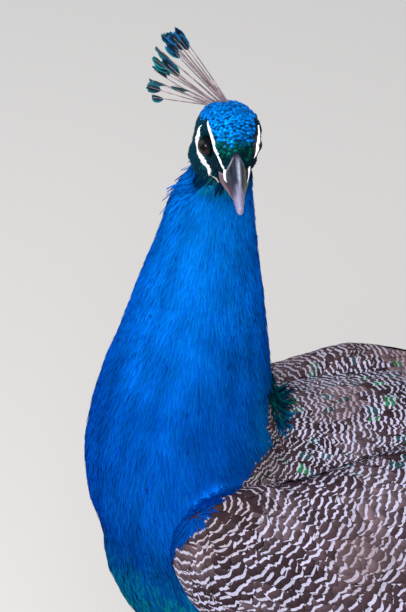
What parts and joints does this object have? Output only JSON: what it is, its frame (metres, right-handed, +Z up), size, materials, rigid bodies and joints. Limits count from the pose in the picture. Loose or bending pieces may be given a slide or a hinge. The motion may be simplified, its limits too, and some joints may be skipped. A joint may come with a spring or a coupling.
{
  "type": "peacock",
  "caption": "Life-size standing peacock, neck upright and head turned to its left, fanned crest, folded wings, and a long folded train whose end rests on the floor.",
  "frame": {"origin": "middle of the bounding box, on the floor plane that the toes and the train's end stand on", "axes": "+X the way the trunk and toes point, +Y the bird's left, +Z up"},
  "size_m": [1.6564, 0.278, 0.7403],
  "materials": {
    "blue_plumage": "satin",
    "barred_plumage": "matte",
    "rufous_quills": "matte",
    "train_plumage": "satin",
    "tail_quills": "matte",
    "buff_plumage": "matte",
    "crest_plumes": "satin",
    "leg_scales": "satin",
    "horn": "satin",
    "iris": "gloss"
  },
  "bodies": {
    "root": {"head": "blue_plumage", "neck_upper": "blue_plumage", "neck_lower": "blue_plumage", "trunk": "blue_plumage", "bill_upper": "horn", "bill_lower": "horn", "eye_left": "iris", "eye_right": "iris", "crest": "crest_plumes", "train": "train_plumage", "tail": "tail_quills", "wing_left": "barred_plumage", "wing_right": "barred_plumage", "primaries_left": "rufous_quills", "primaries_right": "rufous_quills", "thigh_left": "buff_plumage", "thigh_right": "buff_plumage", "shank_left": "leg_scales", "shank_right": "leg_scales", "foot_left": "leg_scales", "foot_right": "leg_scales", "claw_inner_left": "horn", "claw_middle_left": "horn", "claw_outer_left": "horn", "claw_hind_left": "horn", "claw_inner_right": "horn", "claw_middle_right": "horn", "claw_outer_right": "horn", "claw_hind_right": "horn"}
  },
  "joints": []
}
